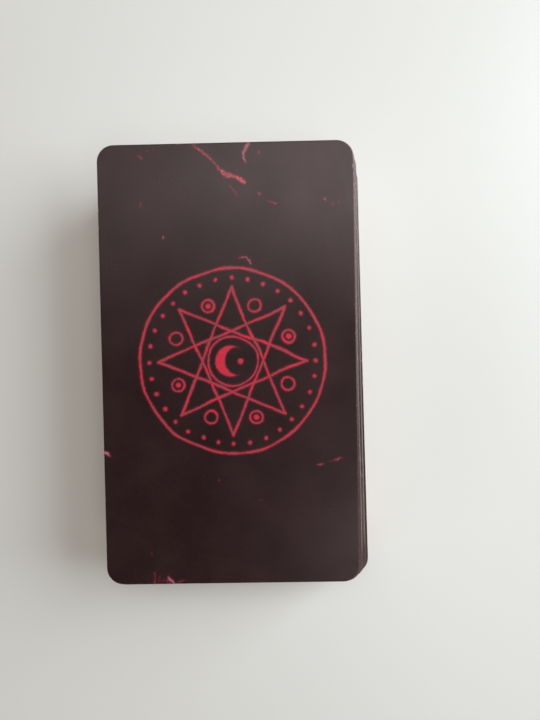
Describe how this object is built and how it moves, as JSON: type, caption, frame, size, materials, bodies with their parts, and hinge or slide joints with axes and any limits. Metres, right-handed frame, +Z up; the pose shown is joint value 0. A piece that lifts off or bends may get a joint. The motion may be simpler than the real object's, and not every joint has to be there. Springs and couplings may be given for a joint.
{
  "type": "tarot card deck",
  "caption": "Leaning stack of loose tarot cards lying back up, dark backs with a red roundel and worn paper edges; fans out, cuts and turns over its top card.",
  "frame": {"origin": "middle of the bottom card's underside, where the deck rests on the table", "axes": "+Z up out of the backs, +Y along the cards' long sides towards their back ends, +X to the right seen from above with +Y away"},
  "size_m": [0.0749, 0.1253, 0.0249],
  "materials": {
    "card_stock": "matte laminate over a dark brown print with red ink"
  },
  "bodies": {
    "bottom_card": {"bottom_card": "card_stock"},
    "cards_02_03": {"cards_02_03": "card_stock"},
    "cards_04_05": {"cards_04_05": "card_stock"},
    "cards_06_07": {"cards_06_07": "card_stock"},
    "cards_08_09": {"cards_08_09": "card_stock"},
    "cards_10_11": {"cards_10_11": "card_stock"},
    "cards_12_13": {"cards_12_13": "card_stock"},
    "cards_14_15": {"cards_14_15": "card_stock"},
    "cards_16_17": {"cards_16_17": "card_stock"},
    "cards_18_19": {"cards_18_19": "card_stock"},
    "cards_20_21": {"cards_20_21": "card_stock"},
    "cards_22_23": {"cards_22_23": "card_stock"},
    "cards_24_25": {"cards_24_25": "card_stock"},
    "cards_26_27": {"cards_26_27": "card_stock"},
    "cards_28_29": {"cards_28_29": "card_stock"},
    "cards_30_31": {"cards_30_31": "card_stock"},
    "cards_32_33": {"cards_32_33": "card_stock"},
    "cards_34_35": {"cards_34_35": "card_stock"},
    "cards_36_37": {"cards_36_37": "card_stock"},
    "card_38": {"card_38": "card_stock"},
    "card_39": {"card_39": "card_stock"},
    "card_40": {"card_40": "card_stock"},
    "card_41": {"card_41": "card_stock"},
    "card_42": {"card_42": "card_stock"},
    "card_43": {"card_43": "card_stock"},
    "card_44": {"card_44": "card_stock"},
    "card_45": {"card_45": "card_stock"},
    "card_46": {"card_46": "card_stock"},
    "card_47": {"card_47": "card_stock"},
    "card_48": {"card_48": "card_stock"},
    "card_49": {"card_49": "card_stock"},
    "card_50": {"card_50": "card_stock"},
    "card_51": {"card_51": "card_stock"},
    "card_52": {"card_52": "card_stock"},
    "card_53": {"card_53": "card_stock"},
    "card_54": {"card_54": "card_stock"},
    "card_55": {"card_55": "card_stock"},
    "card_56": {"card_56": "card_stock"},
    "card_57": {"card_57": "card_stock"},
    "card_58": {"card_58": "card_stock"},
    "card_59": {"card_59": "card_stock"},
    "card_60": {"card_60": "card_stock"},
    "card_61": {"card_61": "card_stock"},
    "card_62": {"card_62": "card_stock"},
    "card_63": {"card_63": "card_stock"},
    "card_64": {"card_64": "card_stock"},
    "card_65": {"card_65": "card_stock"},
    "card_66": {"card_66": "card_stock"},
    "card_67": {"card_67": "card_stock"},
    "card_68": {"card_68": "card_stock"},
    "card_69": {"card_69": "card_stock"},
    "card_70": {"card_70": "card_stock"},
    "card_71": {"card_71": "card_stock"},
    "card_72": {"card_72": "card_stock"},
    "card_73": {"card_73": "card_stock"},
    "card_74": {"card_74": "card_stock"},
    "card_75": {"card_75": "card_stock"},
    "card_76": {"card_76": "card_stock"},
    "card_77": {"card_77": "card_stock"},
    "top_card": {"top_card": "card_stock"}
  },
  "joints": [
    {"name": "fan_cards_02_03", "type": "hinge", "parent": "bottom_card", "child": "cards_02_03", "pos_m": [-0.002, -0.045, 0], "axis": [0, 0, -1], "range_deg": [0, 3]},
    {"name": "fan_cards_04_05", "type": "hinge", "parent": "bottom_card", "child": "cards_04_05", "pos_m": [-0.002, -0.045, 0], "axis": [0, 0, -1], "range_deg": [0, 6]},
    {"name": "fan_cards_06_07", "type": "hinge", "parent": "bottom_card", "child": "cards_06_07", "pos_m": [-0.002, -0.045, 0], "axis": [0, 0, -1], "range_deg": [0, 9]},
    {"name": "fan_cards_08_09", "type": "hinge", "parent": "bottom_card", "child": "cards_08_09", "pos_m": [-0.002, -0.045, 0], "axis": [0, 0, -1], "range_deg": [0, 12]},
    {"name": "fan_cards_10_11", "type": "hinge", "parent": "bottom_card", "child": "cards_10_11", "pos_m": [-0.002, -0.045, 0], "axis": [0, 0, -1], "range_deg": [0, 15]},
    {"name": "fan_cards_12_13", "type": "hinge", "parent": "bottom_card", "child": "cards_12_13", "pos_m": [-0.002, -0.045, 0], "axis": [0, 0, -1], "range_deg": [0, 18]},
    {"name": "fan_cards_14_15", "type": "hinge", "parent": "bottom_card", "child": "cards_14_15", "pos_m": [-0.002, -0.045, 0], "axis": [0, 0, -1], "range_deg": [0, 21]},
    {"name": "fan_cards_16_17", "type": "hinge", "parent": "bottom_card", "child": "cards_16_17", "pos_m": [-0.002, -0.045, 0], "axis": [0, 0, -1], "range_deg": [0, 24]},
    {"name": "fan_cards_18_19", "type": "hinge", "parent": "bottom_card", "child": "cards_18_19", "pos_m": [-0.002, -0.045, 0], "axis": [0, 0, -1], "range_deg": [0, 27]},
    {"name": "fan_cards_20_21", "type": "hinge", "parent": "bottom_card", "child": "cards_20_21", "pos_m": [-0.002, -0.045, 0], "axis": [0, 0, -1], "range_deg": [0, 30]},
    {"name": "fan_cards_22_23", "type": "hinge", "parent": "bottom_card", "child": "cards_22_23", "pos_m": [-0.002, -0.045, 0], "axis": [0, 0, -1], "range_deg": [0, 33]},
    {"name": "fan_cards_24_25", "type": "hinge", "parent": "bottom_card", "child": "cards_24_25", "pos_m": [-0.002, -0.045, 0], "axis": [0, 0, -1], "range_deg": [0, 36]},
    {"name": "fan_cards_26_27", "type": "hinge", "parent": "bottom_card", "child": "cards_26_27", "pos_m": [-0.002, -0.045, 0], "axis": [0, 0, -1], "range_deg": [0, 39]},
    {"name": "fan_cards_28_29", "type": "hinge", "parent": "bottom_card", "child": "cards_28_29", "pos_m": [-0.002, -0.045, 0], "axis": [0, 0, -1], "range_deg": [0, 42]},
    {"name": "fan_cards_30_31", "type": "hinge", "parent": "bottom_card", "child": "cards_30_31", "pos_m": [-0.002, -0.045, 0], "axis": [0, 0, -1], "range_deg": [0, 45]},
    {"name": "fan_cards_32_33", "type": "hinge", "parent": "bottom_card", "child": "cards_32_33", "pos_m": [-0.002, -0.045, 0], "axis": [0, 0, -1], "range_deg": [0, 48]},
    {"name": "fan_cards_34_35", "type": "hinge", "parent": "bottom_card", "child": "cards_34_35", "pos_m": [-0.002, -0.045, 0], "axis": [0, 0, -1], "range_deg": [0, 51]},
    {"name": "fan", "type": "hinge", "parent": "bottom_card", "child": "cards_36_37", "pos_m": [-0.002, -0.045, 0], "axis": [0, 0, -1], "range_deg": [0, 54]},
    {"name": "cut_lift", "type": "slide", "parent": "cards_36_37", "child": "card_38", "axis": [0, 0, 1], "range_m": [0, 0.05]},
    {"name": "fan_card_39", "type": "hinge", "parent": "card_38", "child": "card_39", "pos_m": [-0.002, -0.045, 0], "axis": [0, 0, -1], "range_deg": [0, 1.5]},
    {"name": "fan_card_40", "type": "hinge", "parent": "card_38", "child": "card_40", "pos_m": [-0.002, -0.045, 0], "axis": [0, 0, -1], "range_deg": [0, 3]},
    {"name": "fan_card_41", "type": "hinge", "parent": "card_38", "child": "card_41", "pos_m": [-0.002, -0.045, 0], "axis": [0, 0, -1], "range_deg": [0, 4.5]},
    {"name": "fan_card_42", "type": "hinge", "parent": "card_38", "child": "card_42", "pos_m": [-0.002, -0.045, 0], "axis": [0, 0, -1], "range_deg": [0, 6]},
    {"name": "fan_card_43", "type": "hinge", "parent": "card_38", "child": "card_43", "pos_m": [-0.002, -0.045, 0], "axis": [0, 0, -1], "range_deg": [0, 7.5]},
    {"name": "fan_card_44", "type": "hinge", "parent": "card_38", "child": "card_44", "pos_m": [-0.002, -0.045, 0], "axis": [0, 0, -1], "range_deg": [0, 9]},
    {"name": "fan_card_45", "type": "hinge", "parent": "card_38", "child": "card_45", "pos_m": [-0.002, -0.045, 0], "axis": [0, 0, -1], "range_deg": [0, 10.5]},
    {"name": "fan_card_46", "type": "hinge", "parent": "card_38", "child": "card_46", "pos_m": [-0.002, -0.045, 0], "axis": [0, 0, -1], "range_deg": [0, 12]},
    {"name": "fan_card_47", "type": "hinge", "parent": "card_38", "child": "card_47", "pos_m": [-0.002, -0.045, 0], "axis": [0, 0, -1], "range_deg": [0, 13.5]},
    {"name": "fan_card_48", "type": "hinge", "parent": "card_38", "child": "card_48", "pos_m": [-0.002, -0.045, 0], "axis": [0, 0, -1], "range_deg": [0, 15]},
    {"name": "fan_card_49", "type": "hinge", "parent": "card_38", "child": "card_49", "pos_m": [-0.002, -0.045, 0], "axis": [0, 0, -1], "range_deg": [0, 16.5]},
    {"name": "fan_card_50", "type": "hinge", "parent": "card_38", "child": "card_50", "pos_m": [-0.002, -0.045, 0], "axis": [0, 0, -1], "range_deg": [0, 18]},
    {"name": "fan_card_51", "type": "hinge", "parent": "card_38", "child": "card_51", "pos_m": [-0.002, -0.045, 0], "axis": [0, 0, -1], "range_deg": [0, 19.5]},
    {"name": "fan_card_52", "type": "hinge", "parent": "card_38", "child": "card_52", "pos_m": [-0.002, -0.045, 0], "axis": [0, 0, -1], "range_deg": [0, 21]},
    {"name": "fan_card_53", "type": "hinge", "parent": "card_38", "child": "card_53", "pos_m": [-0.002, -0.045, 0], "axis": [0, 0, -1], "range_deg": [0, 22.5]},
    {"name": "fan_card_54", "type": "hinge", "parent": "card_38", "child": "card_54", "pos_m": [-0.002, -0.045, 0], "axis": [0, 0, -1], "range_deg": [0, 24]},
    {"name": "fan_card_55", "type": "hinge", "parent": "card_38", "child": "card_55", "pos_m": [-0.002, -0.045, 0], "axis": [0, 0, -1], "range_deg": [0, 25.5]},
    {"name": "fan_card_56", "type": "hinge", "parent": "card_38", "child": "card_56", "pos_m": [-0.002, -0.045, 0], "axis": [0, 0, -1], "range_deg": [0, 27]},
    {"name": "fan_card_57", "type": "hinge", "parent": "card_38", "child": "card_57", "pos_m": [-0.002, -0.045, 0], "axis": [0, 0, -1], "range_deg": [0, 28.5]},
    {"name": "fan_card_58", "type": "hinge", "parent": "card_38", "child": "card_58", "pos_m": [-0.002, -0.045, 0], "axis": [0, 0, -1], "range_deg": [0, 30]},
    {"name": "fan_card_59", "type": "hinge", "parent": "card_38", "child": "card_59", "pos_m": [-0.002, -0.045, 0], "axis": [0, 0, -1], "range_deg": [0, 31.5]},
    {"name": "fan_card_60", "type": "hinge", "parent": "card_38", "child": "card_60", "pos_m": [-0.002, -0.045, 0], "axis": [0, 0, -1], "range_deg": [0, 33]},
    {"name": "fan_card_61", "type": "hinge", "parent": "card_38", "child": "card_61", "pos_m": [-0.002, -0.045, 0], "axis": [0, 0, -1], "range_deg": [0, 34.5]},
    {"name": "fan_card_62", "type": "hinge", "parent": "card_38", "child": "card_62", "pos_m": [-0.002, -0.045, 0], "axis": [0, 0, -1], "range_deg": [0, 36]},
    {"name": "fan_card_63", "type": "hinge", "parent": "card_38", "child": "card_63", "pos_m": [-0.002, -0.045, 0], "axis": [0, 0, -1], "range_deg": [0, 37.5]},
    {"name": "fan_card_64", "type": "hinge", "parent": "card_38", "child": "card_64", "pos_m": [-0.002, -0.045, 0], "axis": [0, 0, -1], "range_deg": [0, 39]},
    {"name": "fan_card_65", "type": "hinge", "parent": "card_38", "child": "card_65", "pos_m": [-0.002, -0.045, 0], "axis": [0, 0, -1], "range_deg": [0, 40.5]},
    {"name": "fan_card_66", "type": "hinge", "parent": "card_38", "child": "card_66", "pos_m": [-0.002, -0.045, 0], "axis": [0, 0, -1], "range_deg": [0, 42]},
    {"name": "fan_card_67", "type": "hinge", "parent": "card_38", "child": "card_67", "pos_m": [-0.002, -0.045, 0], "axis": [0, 0, -1], "range_deg": [0, 43.5]},
    {"name": "fan_card_68", "type": "hinge", "parent": "card_38", "child": "card_68", "pos_m": [-0.002, -0.045, 0], "axis": [0, 0, -1], "range_deg": [0, 45]},
    {"name": "fan_card_69", "type": "hinge", "parent": "card_38", "child": "card_69", "pos_m": [-0.002, -0.045, 0], "axis": [0, 0, -1], "range_deg": [0, 46.5]},
    {"name": "fan_card_70", "type": "hinge", "parent": "card_38", "child": "card_70", "pos_m": [-0.002, -0.045, 0], "axis": [0, 0, -1], "range_deg": [0, 48]},
    {"name": "fan_card_71", "type": "hinge", "parent": "card_38", "child": "card_71", "pos_m": [-0.002, -0.045, 0], "axis": [0, 0, -1], "range_deg": [0, 49.5]},
    {"name": "fan_card_72", "type": "hinge", "parent": "card_38", "child": "card_72", "pos_m": [-0.002, -0.045, 0], "axis": [0, 0, -1], "range_deg": [0, 51]},
    {"name": "fan_card_73", "type": "hinge", "parent": "card_38", "child": "card_73", "pos_m": [-0.002, -0.045, 0], "axis": [0, 0, -1], "range_deg": [0, 52.5]},
    {"name": "fan_card_74", "type": "hinge", "parent": "card_38", "child": "card_74", "pos_m": [-0.002, -0.045, 0], "axis": [0, 0, -1], "range_deg": [0, 54]},
    {"name": "fan_card_75", "type": "hinge", "parent": "card_38", "child": "card_75", "pos_m": [-0.002, -0.045, 0], "axis": [0, 0, -1], "range_deg": [0, 55.5]},
    {"name": "fan_card_76", "type": "hinge", "parent": "card_38", "child": "card_76", "pos_m": [-0.002, -0.045, 0], "axis": [0, 0, -1], "range_deg": [0, 57]},
    {"name": "fan_card_77", "type": "hinge", "parent": "card_38", "child": "card_77", "pos_m": [-0.002, -0.045, 0], "axis": [0, 0, -1], "range_deg": [0, 58.5]},
    {"name": "turn_over_top_card", "type": "hinge", "parent": "card_77", "child": "top_card", "pos_m": [0.0311, 0.00295, 0.0248], "axis": [0.0157, 0.9999, 0], "range_deg": [0, 180]}
  ],
  "couplings": [
    {"joint": "fan_cards_02_03", "follows": "fan", "ratio": 0.055556},
    {"joint": "fan_cards_04_05", "follows": "fan", "ratio": 0.11111},
    {"joint": "fan_cards_06_07", "follows": "fan", "ratio": 0.16667},
    {"joint": "fan_cards_08_09", "follows": "fan", "ratio": 0.22222},
    {"joint": "fan_cards_10_11", "follows": "fan", "ratio": 0.27778},
    {"joint": "fan_cards_12_13", "follows": "fan", "ratio": 0.33333},
    {"joint": "fan_cards_14_15", "follows": "fan", "ratio": 0.38889},
    {"joint": "fan_cards_16_17", "follows": "fan", "ratio": 0.44444},
    {"joint": "fan_cards_18_19", "follows": "fan", "ratio": 0.5},
    {"joint": "fan_cards_20_21", "follows": "fan", "ratio": 0.55556},
    {"joint": "fan_cards_22_23", "follows": "fan", "ratio": 0.61111},
    {"joint": "fan_cards_24_25", "follows": "fan", "ratio": 0.66667},
    {"joint": "fan_cards_26_27", "follows": "fan", "ratio": 0.72222},
    {"joint": "fan_cards_28_29", "follows": "fan", "ratio": 0.77778},
    {"joint": "fan_cards_30_31", "follows": "fan", "ratio": 0.83333},
    {"joint": "fan_cards_32_33", "follows": "fan", "ratio": 0.88889},
    {"joint": "fan_cards_34_35", "follows": "fan", "ratio": 0.94444},
    {"joint": "fan_card_39", "follows": "fan", "ratio": 0.027778},
    {"joint": "fan_card_40", "follows": "fan", "ratio": 0.055556},
    {"joint": "fan_card_41", "follows": "fan", "ratio": 0.083333},
    {"joint": "fan_card_42", "follows": "fan", "ratio": 0.11111},
    {"joint": "fan_card_43", "follows": "fan", "ratio": 0.13889},
    {"joint": "fan_card_44", "follows": "fan", "ratio": 0.16667},
    {"joint": "fan_card_45", "follows": "fan", "ratio": 0.19444},
    {"joint": "fan_card_46", "follows": "fan", "ratio": 0.22222},
    {"joint": "fan_card_47", "follows": "fan", "ratio": 0.25},
    {"joint": "fan_card_48", "follows": "fan", "ratio": 0.27778},
    {"joint": "fan_card_49", "follows": "fan", "ratio": 0.30556},
    {"joint": "fan_card_50", "follows": "fan", "ratio": 0.33333},
    {"joint": "fan_card_51", "follows": "fan", "ratio": 0.36111},
    {"joint": "fan_card_52", "follows": "fan", "ratio": 0.38889},
    {"joint": "fan_card_53", "follows": "fan", "ratio": 0.41667},
    {"joint": "fan_card_54", "follows": "fan", "ratio": 0.44444},
    {"joint": "fan_card_55", "follows": "fan", "ratio": 0.47222},
    {"joint": "fan_card_56", "follows": "fan", "ratio": 0.5},
    {"joint": "fan_card_57", "follows": "fan", "ratio": 0.52778},
    {"joint": "fan_card_58", "follows": "fan", "ratio": 0.55556},
    {"joint": "fan_card_59", "follows": "fan", "ratio": 0.58333},
    {"joint": "fan_card_60", "follows": "fan", "ratio": 0.61111},
    {"joint": "fan_card_61", "follows": "fan", "ratio": 0.63889},
    {"joint": "fan_card_62", "follows": "fan", "ratio": 0.66667},
    {"joint": "fan_card_63", "follows": "fan", "ratio": 0.69444},
    {"joint": "fan_card_64", "follows": "fan", "ratio": 0.72222},
    {"joint": "fan_card_65", "follows": "fan", "ratio": 0.75},
    {"joint": "fan_card_66", "follows": "fan", "ratio": 0.77778},
    {"joint": "fan_card_67", "follows": "fan", "ratio": 0.80556},
    {"joint": "fan_card_68", "follows": "fan", "ratio": 0.83333},
    {"joint": "fan_card_69", "follows": "fan", "ratio": 0.86111},
    {"joint": "fan_card_70", "follows": "fan", "ratio": 0.88889},
    {"joint": "fan_card_71", "follows": "fan", "ratio": 0.91667},
    {"joint": "fan_card_72", "follows": "fan", "ratio": 0.94444},
    {"joint": "fan_card_73", "follows": "fan", "ratio": 0.97222},
    {"joint": "fan_card_74", "follows": "fan", "ratio": 1},
    {"joint": "fan_card_75", "follows": "fan", "ratio": 1.0278},
    {"joint": "fan_card_76", "follows": "fan", "ratio": 1.0556},
    {"joint": "fan_card_77", "follows": "fan", "ratio": 1.0833}
  ]
}
